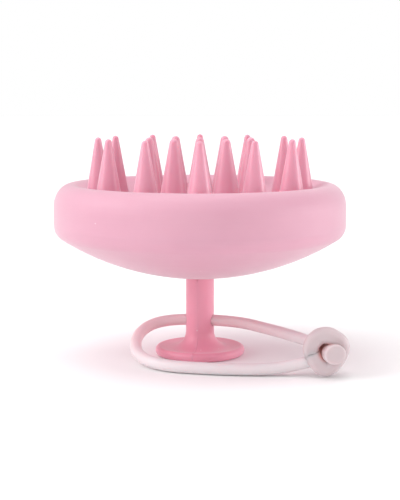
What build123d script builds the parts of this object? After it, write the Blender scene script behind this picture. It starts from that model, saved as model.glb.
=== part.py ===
from build123d import *
import math
import os

# Scalp massager brush, in millimetres. +Z is up and the origin is the centre of the foot's underside.
# The brush stands on its foot with the bristles up. The cord's knot lies on the near side, -Y.

# Head, outside
HEAD_RADIUS = 42.5
HEAD_Z = 23.2            # lowest point of the domed underside, above the floor
HEAD_DEPTH = 27.5        # from there up to the rim's crest
DOME_RISE = 13.2         # how far the underside's sphere rises by the time it reaches the side
DOME_CORNER = 4.5        # round between the underside and the side wall
CROWN_WIDTH = 5.0        # the rim's outer shoulder is a quarter of an ellipse, this wide
CROWN_HEIGHT = 6.5       # and this tall
LIP_RADIUS = 4.0         # the rim's inner round, which runs into the dished face
DISH_DEPTH = 9.4         # from the crest down to the middle of the face

# Head, inside
SIDE_WALL = 2.4
DOME_WALL = 2.4
FACE_WALL = 2.0
SPIGOT_WALL = 1.5        # the dome's ring that plugs into the cap
SPIGOT_FIT = 0.05
RIB_COUNT = 6
RIB_WIDTH = 1.4
RIB_HEIGHT = 3.0
RIB_EDGE_GAP = 1.0
CLAMP_WALL = 2.0
CLAMP_EDGE_GAP = 2.5

# Bristles: one in the middle and two rings, the second at twice the first one's radius
RING_MARGIN = 13.0       # from the outer ring's bristle axes out to the head's side
INNER_COUNT = 6
OUTER_COUNT = 12
TIP_RISE = 13.3          # bristle tips above the rim's crest
BASE_SHARE = 0.3472      # the middle bristle's radius at the face, as a share of the inner ring's radius
INNER_TIP_RADIUS = 1.25
OUTER_TIP_RADIUS = 0.95
BRISTLE_CLEARANCE = 0.12
FLANGE_WALL = 1.2

# Clamp screws, one every third of a turn, between the bristles
SCREW_COUNT = 3
SCREW_RADIUS = 1.0
SCREW_CLEARANCE = 0.15
SCREW_HEAD_RADIUS = 1.9
SCREW_HEAD_HEIGHT = 1.3
SCREW_SKIN = 0.6         # left of the face's wall above the screw's end
SCREW_END_GAP = 0.15
SLOT_WIDTH = 0.5
SLOT_SHARE = 0.7         # of the head's width, which the slot runs across
SLOT_DEPTH = 0.6
SCREW_BOSS_RADIUS = 2.5

# Handle: foot and stem in one moulding
FOOT_RADIUS = 13.15
FOOT_THICKNESS = 2.6
FOOT_ROUND = 1.1
FOOT_VALLEY = 0.35       # the foot's top sinks this much towards the stem
FLARE_RADIUS = 4.7
STEM_RADIUS = 4.15
HEAD_GAP = 0.15          # between the stem's shoulder and the dome
HOLE_Z = 10.25
HOLE_TURN_DEG = -10.0
HOLE_ROUND = 0.35

# The stem's journal in the head, with its washer and clip
JOURNAL_RADIUS = 3.2
JOURNAL_CLEARANCE = 0.05
BOSS_WALL = 3.0
WASHER_WALL = 0.8
WASHER_RIM_GAP = 0.4
CLIP_WALL = 0.8
CLIP_WIDTH = 2.2
CLIP_MOUTH = 3.4
CLIP_FIT = 0.05
GROOVE_DEPTH = 0.6
END_PLAY = 0.1
NECK_END = 1.0           # of the journal above its groove
NECK_CHAMFER = 0.4
PLATE_GAP = 0.8          # between the journal's end and the clamp plate

# Cord
CORD_DIAMETER = 3.3
CORD_CLEARANCE = 0.1     # round the cord in the stem's cross hole
BEND_SHARE = 0.45        # of the shorter run beside a bend, which the bend takes up
FLOOR_GAP = 0.1
KNOT_CENTRE = (34.4, -28.6, 7.2)
KNOT_RADII = (6.9, 4.6, 7.0)
TAIL_DIAMETER = 5.4
TAIL_POINTS = [(35.7, -28.6, 7.2), (36.3, -35.2, 7.8)]

# Places that follow from the sizes above
CREST_Z = HEAD_Z + HEAD_DEPTH
DISH_Z = CREST_Z - DISH_DEPTH
TIP_Z = CREST_Z + TIP_RISE
CREST_RADIUS = HEAD_RADIUS - CROWN_WIDTH
CROWN_Z = CREST_Z - CROWN_HEIGHT
DISH_RADIUS = (CREST_RADIUS**2 + DISH_DEPTH**2) / (2 * DISH_DEPTH) - LIP_RADIUS
DISH_CENTRE_Z = DISH_Z + DISH_RADIUS
DOME_RADIUS = (HEAD_RADIUS**2 + DOME_RISE**2) / (2 * DOME_RISE)
DOME_CENTRE_Z = HEAD_Z + DOME_RADIUS
CAP_INNER_RADIUS = HEAD_RADIUS - SIDE_WALL

OUTER_RING_RADIUS = HEAD_RADIUS - RING_MARGIN
INNER_RING_RADIUS = OUTER_RING_RADIUS / 2

# The taper that gives the middle bristle its radius at the face, in radians
BASE_RADIUS = BASE_SHARE * INNER_RING_RADIUS
BRISTLE_HEIGHT = TIP_Z - INNER_TIP_RADIUS - DISH_Z
TAPER = math.acos(INNER_TIP_RADIUS / math.hypot(BASE_RADIUS, BRISTLE_HEIGHT)) - math.atan2(
    BRISTLE_HEIGHT, BASE_RADIUS
)

# A clamp screw stands as far from two inner bristles as from the outer one that is between them.
SCREW_START_DEG = 180 / INNER_COUNT
SCREW_RING_RADIUS = (OUTER_RING_RADIUS**2 - INNER_RING_RADIUS**2) / (
    2 * (OUTER_RING_RADIUS - INNER_RING_RADIUS * math.cos(math.radians(SCREW_START_DEG)))
)

HOLE_RADIUS = CORD_DIAMETER / 2 + CORD_CLEARANCE
FLOOR_Z = CORD_DIAMETER / 2 + FLOOR_GAP

# Layers behind the face, as radii of spheres about the dish's centre
FACE_BACK = DISH_RADIUS + FACE_WALL
CLAMP_FRONT = FACE_BACK + FLANGE_WALL
CLAMP_BACK = CLAMP_FRONT + CLAMP_WALL

# The stack on the journal, from its end down to the dome's boss
BORE_RADIUS = JOURNAL_RADIUS + JOURNAL_CLEARANCE
BOSS_RADIUS = BORE_RADIUS + BOSS_WALL
JOURNAL_END_Z = DISH_CENTRE_Z - CLAMP_BACK - PLATE_GAP
GROOVE_TOP_Z = JOURNAL_END_Z - NECK_END
GROOVE_RADIUS = JOURNAL_RADIUS - GROOVE_DEPTH
CLIP_Z = GROOVE_TOP_Z - CLIP_WALL - CLIP_FIT
GROOVE_Z = CLIP_Z - CLIP_FIT
BOSS_TOP_Z = CLIP_Z - END_PLAY - WASHER_WALL


def along_hole(distance):
    """Point on the cross hole's axis, at a distance from the stem's middle."""
    turn = math.radians(HOLE_TURN_DEG)
    return distance * math.cos(turn), distance * math.sin(turn), HOLE_Z


def below(centre_z, radius, offset):
    """Height of the lower half of a sphere about (0, 0, centre_z), at an offset from the Z axis."""
    return centre_z - math.sqrt(radius**2 - offset**2)


def sphere_arc(centre_z, radius, start, end):
    """Arc of a sphere's outline in the XZ plane, between two offsets from the Z axis."""
    points = [(r, below(centre_z, radius, r)) for r in (start, (start + end) / 2, end)]
    return ThreePointArc(*points)


def turned(outline):
    """Solid of revolution about Z from the edges of a closed outline drawn as (radius, height)."""
    face = Plane.XZ * make_face(outline)
    return revolve(face, Axis.Z)


def ball(radius):
    """Ball about the dish's centre. Its lower side follows the face."""
    return Pos(0, 0, DISH_CENTRE_Z) * Sphere(radius)


def below_dish_centre(reach):
    """Square block under the dish's centre, which keeps the lower half of a ball."""
    sides = (Align.CENTER, Align.CENTER, Align.MAX)
    return Pos(0, 0, DISH_CENTRE_Z) * Box(reach, reach, 2 * DISH_RADIUS, align=sides)


def at_angle(solid, degrees):
    """The solid turned about Z."""
    return Rot(0, 0, degrees) * solid


def dome_corner():
    """Centre of the round between the underside and the side wall, as (radius, height)."""
    offset = HEAD_RADIUS - DOME_CORNER
    return offset, below(DOME_CENTRE_Z, DOME_RADIUS - DOME_CORNER, offset)


def make_back_dome():
    """Domed underside with the journal's boss, the ribs and the spigot that plugs into the cap."""
    corner_r, seam_z = dome_corner()
    # The round touches the sphere on the line from the sphere's centre through the round's own centre.
    stretch = DOME_RADIUS / (DOME_RADIUS - DOME_CORNER)
    touch = (corner_r * stretch, DOME_CENTRE_Z + (seam_z - DOME_CENTRE_Z) * stretch)
    start_angle = math.atan2(touch[1] - seam_z, touch[0] - corner_r)
    middle = (
        corner_r + DOME_CORNER * math.cos(start_angle / 2),
        seam_z + DOME_CORNER * math.sin(start_angle / 2),
    )
    inner_sphere = DOME_RADIUS - DOME_WALL
    spigot_r = CAP_INNER_RADIUS - SPIGOT_FIT
    hollow_r = spigot_r - SPIGOT_WALL
    # The spigot ends halfway up the cap's straight wall.
    spigot_top = (seam_z + CROWN_Z) / 2
    outer = sphere_arc(DOME_CENTRE_Z, DOME_RADIUS, BORE_RADIUS, touch[0])
    corner = ThreePointArc(touch, middle, (HEAD_RADIUS, seam_z))
    spigot = Polyline(
        (HEAD_RADIUS, seam_z),
        (spigot_r, seam_z),
        (spigot_r, spigot_top),
        (hollow_r, spigot_top),
        (hollow_r, below(DOME_CENTRE_Z, inner_sphere, hollow_r)),
    )
    inner = sphere_arc(DOME_CENTRE_Z, inner_sphere, hollow_r, BOSS_RADIUS)
    boss = Polyline(
        (BOSS_RADIUS, below(DOME_CENTRE_Z, inner_sphere, BOSS_RADIUS)),
        (BOSS_RADIUS, BOSS_TOP_Z),
        (BORE_RADIUS, BOSS_TOP_Z),
        (BORE_RADIUS, below(DOME_CENTRE_Z, DOME_RADIUS, BORE_RADIUS)),
    )
    dome = turned(outer + corner + spigot + inner + boss)

    # Ribs stand on the inside of the dome, from the boss, clear of its washer, out to the spigot.
    start, end = BOSS_RADIUS - WASHER_RIM_GAP / 2, hollow_r - RIB_EDGE_GAP
    layer = Sphere(inner_sphere + DOME_WALL / 2) - Sphere(inner_sphere - RIB_HEIGHT)
    layer = Pos(0, 0, DOME_CENTRE_Z) * layer
    bar = Pos((start + end) / 2, 0, HEAD_Z) * Box(end - start, RIB_WIDTH, 2 * HEAD_DEPTH)
    rib = bar & layer
    for turn in range(RIB_COUNT):
        dome += at_angle(rib, turn * 360 / RIB_COUNT)
    return dome


def bristle_places():
    """Every bristle's (name, ring radius, angle, tip radius), the middle one last."""
    places = []
    rings = (
        ("bristle_inner", INNER_RING_RADIUS, INNER_COUNT, INNER_TIP_RADIUS),
        ("bristle_outer", OUTER_RING_RADIUS, OUTER_COUNT, OUTER_TIP_RADIUS),
    )
    for name, ring, count, tip in rings:
        for number in range(count):
            places.append((f"{name}_{number + 1}", ring, number * 360 / count, tip))
    # Turned by half a step, so that its cone's seam isn't on the face's own seam.
    places.append(("bristle_centre", 0.0, 180 / OUTER_COUNT, INNER_TIP_RADIUS))
    return places


def cone(tip_radius, grow=0.0):
    """Upright round-tipped cone on the Z axis, from deep behind the face up to the tips."""
    ball_z = TIP_Z - tip_radius
    tip = tip_radius + grow
    touch = (tip * math.cos(TAPER), ball_z + tip * math.sin(TAPER))
    middle_angle = (TAPER + math.pi / 2) / 2
    middle = (tip * math.cos(middle_angle), ball_z + tip * math.sin(middle_angle))
    base_z = HEAD_Z
    base_r = touch[0] + (touch[1] - base_z) * math.tan(TAPER)
    side = Polyline((0, ball_z + tip), (0, base_z), (base_r, base_z), touch)
    return turned(side + ThreePointArc(touch, middle, (0, ball_z + tip)))


def face_radius(ring, tip_radius):
    """Radius of a bristle's cone where its axis crosses the face."""
    drop = TIP_Z - tip_radius - below(DISH_CENTRE_Z, DISH_RADIUS, ring)
    return (tip_radius + drop * math.sin(TAPER)) / math.cos(TAPER)


def make_bristle(ring, tip_radius):
    """Bristle at angle zero: a cone through the face and a flange behind it."""
    # The flange ends halfway from the shaft's lower end to the middle of the gap between two bristles.
    shaft_radius = face_radius(ring, tip_radius) + (FACE_WALL + FLANGE_WALL) * math.tan(TAPER)
    flange_radius = (shaft_radius + INNER_RING_RADIUS / 2) / 2
    front = ball(CLAMP_FRONT)
    shaft = Pos(ring, 0, 0) * cone(tip_radius)
    disc = Pos(ring, 0, DISH_Z) * Cylinder(flange_radius, 2 * HEAD_DEPTH)
    disc = (disc & front) - ball(FACE_BACK)
    return (shaft & front) + (disc & below_dish_centre(2 * HEAD_RADIUS))


def radial(solid, turn):
    """Carries a solid on the Z axis, measured from the dish's centre, to one clamp screw's place."""
    tilt = math.degrees(math.asin(SCREW_RING_RADIUS / CLAMP_FRONT))
    angle = SCREW_START_DEG + turn * 360 / SCREW_COUNT
    return Pos(0, 0, DISH_CENTRE_Z) * Rot(0, 0, angle) * Rot(0, -tilt, 0) * solid


def rod(radius, low, high):
    """Cylinder on the Z axis between two heights."""
    return Pos(0, 0, (low + high) / 2) * Cylinder(radius, high - low)


def make_face_cap():
    """Side wall, rim and dished face in one shell, with the bristles' holes and the screws' bosses."""
    _, seam_z = dome_corner()
    lip_z = CREST_Z - LIP_RADIUS
    inner_lip = LIP_RADIUS - FACE_WALL
    reach = DISH_RADIUS + LIP_RADIUS
    lean = math.atan2(DISH_CENTRE_Z - lip_z, CREST_RADIUS)

    def lip_arc(radius):
        """The rim's inner round from the dish up to the crest."""
        angles = (math.pi - lean, (math.pi - lean + math.pi / 2) / 2, math.pi / 2)
        points = [(CREST_RADIUS + radius * math.cos(a), lip_z + radius * math.sin(a)) for a in angles]
        return ThreePointArc(*points)

    def crown_arc(width, height):
        """The rim's outer shoulder, a quarter of an ellipse."""
        return EllipticalCenterArc((CREST_RADIUS, CROWN_Z), width, height, arc_size=90)

    outer_edge = CREST_RADIUS * DISH_RADIUS / reach
    inner_edge = CREST_RADIUS * FACE_BACK / reach
    outline = [
        Line((HEAD_RADIUS, seam_z), (HEAD_RADIUS, CROWN_Z)),
        crown_arc(CROWN_WIDTH, CROWN_HEIGHT),
        lip_arc(LIP_RADIUS),
        sphere_arc(DISH_CENTRE_Z, DISH_RADIUS, outer_edge, 0),
        Line((0, DISH_Z), (0, DISH_Z - FACE_WALL)),
        sphere_arc(DISH_CENTRE_Z, FACE_BACK, 0, inner_edge),
        lip_arc(inner_lip),
        crown_arc(CROWN_WIDTH - SIDE_WALL, CROWN_HEIGHT - FACE_WALL),
        Line((CAP_INNER_RADIUS, CROWN_Z), (CAP_INNER_RADIUS, seam_z)),
        Line((CAP_INNER_RADIUS, seam_z), (HEAD_RADIUS, seam_z)),
    ]
    cap = turned(outline)
    front = ball(CLAMP_FRONT)
    middle_of_wall = ball(DISH_RADIUS + FACE_WALL / 2)
    for turn in range(SCREW_COUNT):
        boss = radial(rod(SCREW_BOSS_RADIUS, -CLAMP_BACK, -DISH_RADIUS), turn)
        cap += (boss & front) - middle_of_wall
    for turn in range(SCREW_COUNT):
        cap -= radial(rod(SCREW_RADIUS, -CLAMP_BACK, -DISH_RADIUS - SCREW_SKIN), turn)
    for _, ring, angle, tip in bristle_places():
        cap -= at_angle(Pos(ring, 0, 0) * cone(tip, BRISTLE_CLEARANCE), angle)
    return cap


def make_clamp_plate():
    """Dished plate behind the bristles' flanges, with the screws' clearance holes."""
    disc = Pos(0, 0, DISH_Z) * Cylinder(CREST_RADIUS - CLAMP_EDGE_GAP, 2 * HEAD_DEPTH)
    plate = (disc & ball(CLAMP_BACK) & below_dish_centre(2 * HEAD_RADIUS)) - ball(CLAMP_FRONT)
    for turn in range(SCREW_COUNT):
        hole = rod(SCREW_RADIUS + SCREW_CLEARANCE, -CLAMP_BACK - CLAMP_WALL, -FACE_BACK)
        plate -= radial(hole, turn)
    return plate


def make_clamp_screw(turn):
    """Small pan-head screw with a cross slot, from the back of the clamp plate into the face's boss."""
    screw = rod(SCREW_HEAD_RADIUS, -CLAMP_BACK - SCREW_HEAD_HEIGHT, -CLAMP_BACK)
    screw += rod(SCREW_RADIUS, -CLAMP_BACK, -DISH_RADIUS - SCREW_SKIN - SCREW_END_GAP)
    slot_z = -CLAMP_BACK - SCREW_HEAD_HEIGHT + SLOT_DEPTH / 2
    slot = Box(SLOT_SHARE * 2 * SCREW_HEAD_RADIUS, SLOT_WIDTH, SLOT_DEPTH)
    for quarter in (0, 90):
        screw -= Pos(0, 0, slot_z) * Rot(0, 0, quarter) * slot
    return radial(screw, turn)


def make_handle():
    """Foot disc, flared stem and the journal that turns in the head."""
    flat_r = FOOT_RADIUS - FOOT_ROUND
    top_z = FOOT_THICKNESS - FOOT_ROUND
    valley_z = FOOT_THICKNESS - FOOT_VALLEY
    flare_r = STEM_RADIUS + FLARE_RADIUS
    shoulder_z = below(DOME_CENTRE_Z, DOME_RADIUS, 0) - HEAD_GAP
    slant = math.sqrt(0.5)

    def foot_round(centre_z, side):
        """Middle point of the foot's lower or upper edge round."""
        return flat_r + FOOT_ROUND * slant, centre_z + side * FOOT_ROUND * slant

    flare_middle = (flare_r - FLARE_RADIUS * slant, valley_z + FLARE_RADIUS * (1 - slant))
    outline = [
        Line((0, 0), (flat_r, 0)),
        ThreePointArc((flat_r, 0), foot_round(FOOT_ROUND, -1), (FOOT_RADIUS, FOOT_ROUND)),
        Line((FOOT_RADIUS, FOOT_ROUND), (FOOT_RADIUS, top_z)),
        ThreePointArc((FOOT_RADIUS, top_z), foot_round(top_z, 1), (flat_r, FOOT_THICKNESS)),
        TangentArc((flare_r, valley_z), (flat_r, FOOT_THICKNESS), tangent=(1, 0)),
        ThreePointArc((flare_r, valley_z), flare_middle, (STEM_RADIUS, valley_z + FLARE_RADIUS)),
        Polyline(
            (STEM_RADIUS, valley_z + FLARE_RADIUS),
            (STEM_RADIUS, shoulder_z),
            (JOURNAL_RADIUS, shoulder_z),
            (JOURNAL_RADIUS, GROOVE_Z),
            (GROOVE_RADIUS, GROOVE_Z),
            (GROOVE_RADIUS, GROOVE_TOP_Z),
            (JOURNAL_RADIUS, GROOVE_TOP_Z),
            (JOURNAL_RADIUS, JOURNAL_END_Z - NECK_CHAMFER),
            (JOURNAL_RADIUS - NECK_CHAMFER, JOURNAL_END_Z),
            (0, JOURNAL_END_Z),
            (0, 0),
        ),
    ]
    handle = turned(outline)
    bore = Rot(0, 0, HOLE_TURN_DEG) * Rot(0, 90, 0) * Cylinder(HOLE_RADIUS, 4 * STEM_RADIUS)
    handle -= Pos(0, 0, HOLE_Z) * bore
    mouths = [
        edge
        for edge in handle.edges().filter_by(GeomType.BSPLINE)
        if abs(edge.center().Z - HOLE_Z) < HOLE_RADIUS
    ]
    return fillet(mouths, HOLE_ROUND)


def ring(inner, outer, low, high):
    """Flat ring about the Z axis."""
    return rod(outer, low, high) - rod(inner, low - 1, high + 1)


def make_thrust_washer():
    """Washer between the boss and the clip."""
    return ring(BORE_RADIUS, BOSS_RADIUS - WASHER_RIM_GAP, BOSS_TOP_Z, BOSS_TOP_Z + WASHER_WALL)


def make_retaining_clip():
    """Open ring in the journal's groove, with its mouth on the near side."""
    clip = ring(GROOVE_RADIUS, GROOVE_RADIUS + CLIP_WIDTH, CLIP_Z, CLIP_Z + CLIP_WALL)
    reach = GROOVE_RADIUS + 2 * CLIP_WIDTH
    return clip - Pos(0, -reach / 2, CLIP_Z) * Box(CLIP_MOUTH, reach, 4 * CLIP_WALL)


def corner_radii(points):
    """Radius for each corner of a cord's route, as large as its two runs allow."""
    radii = []
    for before, corner, after in zip(points, points[1:], points[2:]):
        first, second = Vector(*corner) - Vector(*before), Vector(*after) - Vector(*corner)
        half_turn = math.radians(first.get_angle(second)) / 2
        radii.append(BEND_SHARE * min(first.length, second.length) / math.tan(half_turn))
    return radii


def make_cord(name, points):
    """Round cord along straight runs joined by tangent arcs. Prints what its bends measure."""
    radii = corner_radii(points)
    path = FilletPolyline(*points, radius=radii)
    start = Plane(origin=points[0], z_dir=Vector(*points[1]) - Vector(*points[0]))
    tube = sweep(start * Circle(CORD_DIAMETER / 2), path=path)
    section = math.pi * CORD_DIAMETER**2 / 4
    print(name, "length", round(path.length, 1), "volume share", round(tube.volume / (section * path.length), 4))
    print(name, "radii in diameters", [round(radius / CORD_DIAMETER, 1) for radius in radii])
    return tube


def make_cord_knot():
    """Outer shape of the overhand knot and the cut tail that stands out of it."""
    lump = Pos(*KNOT_CENTRE) * scale(Sphere(1), by=KNOT_RADII)
    foot, tip = (Vector(*point) for point in TAIL_POINTS)
    tail = extrude(Plane(origin=foot, z_dir=tip - foot) * Circle(TAIL_DIAMETER / 2), (tip - foot).length)
    return lump + tail


# Both strands start in the middle of the cross hole and leave it along its axis.
LEFT_ROUTE = [
    along_hole(0),
    along_hole(-10.7),
    (-18.4, -4.4, 7.4),
    (-18.6, -14.4, 2.9),
    (-11.2, -23.4, FLOOR_Z),
    (2.6, -27.2, FLOOR_Z),
    (16.4, -28.6, FLOOR_Z),
    (25.2, -28.2, 2.7),
    (31.6, -28.6, 4.6),
]
RIGHT_ROUTE = [
    along_hole(0),
    along_hole(10.5),
    (20.2, -8.6, 9.0),
    (27.8, -18.0, 8.6),
    (33.0, -27.0, 8.2),
]


def make_all():
    """Every piece by its node name."""
    pieces = {
        "handle": make_handle(),
        "back_dome": make_back_dome(),
        "face_cap": make_face_cap(),
        "clamp_plate": make_clamp_plate(),
        "thrust_washer": make_thrust_washer(),
        "retaining_clip": make_retaining_clip(),
    }
    for turn in range(SCREW_COUNT):
        pieces[f"clamp_screw_{turn + 1}"] = make_clamp_screw(turn)
    by_ring = {}
    for name, ring_radius, angle, tip in bristle_places():
        if ring_radius not in by_ring:
            by_ring[ring_radius] = make_bristle(ring_radius, tip)
        pieces[name] = at_angle(by_ring[ring_radius], angle)
    pieces["cord_left"] = make_cord("cord_left", LEFT_ROUTE)
    pieces["cord_right"] = make_cord("cord_right", RIGHT_ROUTE)
    pieces["cord_knot"] = make_cord_knot()
    return pieces


os.makedirs("parts", exist_ok=True)
for node, solid in make_all().items():
    export_step(solid, f"parts/{node}.step")
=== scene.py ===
"""Scalp massager brush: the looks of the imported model, in metres, in its own frame.

+Z is up, the foot's underside is at the origin and the cord's knot lies on the near side, -Y.
Each sub-assembly is a class that builds and dresses its own pieces, and each finish is a small class.
"""

import logging
import math
from dataclasses import dataclass
from enum import Enum
from typing import Optional, Sequence

import bmesh
import bpy
from bmesh.types import BMesh, BMVert
from bpy.types import Material, NodeTree, Object
from bpy.types import NodeSocket as Socket
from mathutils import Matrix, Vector
from mathutils.bvhtree import BVHTree


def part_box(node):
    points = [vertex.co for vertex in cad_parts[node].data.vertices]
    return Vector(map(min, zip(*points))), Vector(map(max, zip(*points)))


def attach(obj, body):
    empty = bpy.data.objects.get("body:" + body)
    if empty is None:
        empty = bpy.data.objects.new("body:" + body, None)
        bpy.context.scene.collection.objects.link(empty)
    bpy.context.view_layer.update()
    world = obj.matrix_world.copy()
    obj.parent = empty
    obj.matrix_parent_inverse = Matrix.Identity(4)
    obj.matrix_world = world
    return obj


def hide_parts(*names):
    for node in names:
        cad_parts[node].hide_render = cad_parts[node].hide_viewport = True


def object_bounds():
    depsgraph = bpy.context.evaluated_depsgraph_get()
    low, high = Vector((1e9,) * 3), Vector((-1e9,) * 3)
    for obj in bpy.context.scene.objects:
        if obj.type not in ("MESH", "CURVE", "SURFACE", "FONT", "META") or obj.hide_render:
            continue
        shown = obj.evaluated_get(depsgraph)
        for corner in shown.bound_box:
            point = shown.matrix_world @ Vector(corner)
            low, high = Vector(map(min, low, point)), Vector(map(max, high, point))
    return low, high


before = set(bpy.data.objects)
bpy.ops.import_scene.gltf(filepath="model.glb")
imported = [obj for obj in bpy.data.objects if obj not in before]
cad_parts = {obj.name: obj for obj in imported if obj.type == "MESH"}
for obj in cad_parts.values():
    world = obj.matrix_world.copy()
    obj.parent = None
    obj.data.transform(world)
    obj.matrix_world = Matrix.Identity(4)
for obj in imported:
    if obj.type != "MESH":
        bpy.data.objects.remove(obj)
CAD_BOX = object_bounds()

MM = 0.001
Colour = tuple[float, float, float]
Point = tuple[float, float, float]
Span = tuple[float, float]
FLOAT, WHOLE, VECTOR, COLOUR = "NodeSocketFloat", "NodeSocketInt", "NodeSocketVector", "NodeSocketColor"

# What the silicone grain's height spans, which roughness follows.
GRAIN_SPAN: Span = (0.4, 1.2)

logging.basicConfig(level=logging.INFO, format="%(message)s")
log = logging.getLogger("massager")


class Body(Enum):
    """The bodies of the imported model."""

    HANDLE = "handle"
    HEAD = "head"
    CORD = "cord"


class Slot(Enum):
    """The record's material slots."""

    BRISTLE = "bristle_silicone"
    HANDLE = "handle_plastic"
    CORD = "cord_silicone"


def rgba(colour: Colour) -> tuple[float, float, float, float]:
    """The colour with full alpha."""
    return (*colour, 1.0)


def in_metres(span: Span) -> Span:
    """A range given in millimetres, in metres."""
    return span[0] * MM, span[1] * MM


class Tree:
    """Adds and links nodes in one node tree."""

    def __init__(self, tree: NodeTree) -> None:
        """Keeps the tree.

        Args:
            tree: a shader or geometry node tree.
        """
        self.tree = tree

    def add(self, kind: str, settings: Optional[dict] = None, **values: object) -> bpy.types.Node:
        """Adds a node.

        Args:
            kind: the node's type, such as "ShaderNodeMath".
            settings: the node's own properties.
            **values: input values by name, with _ for a space. A socket is linked, anything else is set.

        Returns:
            The new node.
        """
        node = self.tree.nodes.new(kind)
        for name, value in (settings or {}).items():
            setattr(node, name, value)
        for name, value in values.items():
            self.feed(node.inputs[name.replace("_", " ")], value)
        return node

    def feed(self, socket: Socket, value: object) -> None:
        """Links a socket to an input, or sets the input's value.

        Args:
            socket: the input.
            value: a socket to link, or a value to set.
        """
        if isinstance(value, Socket):
            self.tree.links.new(value, socket)
        else:
            socket.default_value = value

    def math(self, operation: str, *values: object) -> Socket:
        """A math node's result.

        Args:
            operation: the operation's name.
            *values: up to three sockets or numbers.

        Returns:
            The output socket.
        """
        node = self.add("ShaderNodeMath", {"operation": operation})
        for socket, value in zip(node.inputs, values):
            self.feed(socket, value)
        return node.outputs[0]

    def mix(self, factor: object, first: object, second: object) -> Socket:
        """A colour between two others.

        Args:
            factor: 0 for the first, 1 for the second.
            first: colour or socket.
            second: colour or socket.

        Returns:
            The colour's socket.
        """
        node = self.add("ShaderNodeMix", {"data_type": "RGBA"})
        self.feed(node.inputs["Factor"], factor)
        for name, value in (("A", first), ("B", second)):
            socket = next(s for s in node.inputs if s.name == name and s.type == "RGBA")
            self.feed(socket, value)
        return next(s for s in node.outputs if s.type == "RGBA")

    def remap(self, value: object, source: Span, target: Span = (0.0, 1.0)) -> Socket:
        """A value carried from one range to another, and held inside it.

        Args:
            value: socket to carry over.
            source: the range it is in.
            target: the range it ends in, from 0 to 1 if none is given.

        Returns:
            The result's socket.
        """
        node = self.add("ShaderNodeMapRange", {"clamp": True})
        for socket, number in zip(node.inputs, (value, *source, *target)):
            self.feed(socket, number)
        return node.outputs[0]


def new_material(name: str) -> tuple[Tree, Material]:
    """Makes a material with an empty tree.

    Args:
        name: the material's name.

    Returns:
        Its tree and the material.
    """
    material = bpy.data.materials.new(name)
    material.use_nodes = True
    material.node_tree.nodes.clear()
    return Tree(material.node_tree), material


def new_group(
    name: str, kind: str, inputs: Sequence[tuple], outputs: Sequence[tuple]
) -> tuple[Tree, bpy.types.NodeOutputs]:
    """Makes a node group with named sockets.

    Args:
        name: the group's name.
        kind: "ShaderNodeTree" or "GeometryNodeTree".
        inputs: (name, socket type, default value or None) of each input.
        outputs: (name, socket type) of each output.

    Returns:
        The group's tree, and the sockets that its inputs come in by.
    """
    group = bpy.data.node_groups.new(name, kind)
    for label, socket_type, value in inputs:
        socket = group.interface.new_socket(name=label, in_out="INPUT", socket_type=socket_type)
        if value is not None:
            socket.default_value = value
    for label, socket_type in outputs:
        group.interface.new_socket(name=label, in_out="OUTPUT", socket_type=socket_type)
    tree = Tree(group)
    return tree, tree.add("NodeGroupInput").outputs


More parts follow.
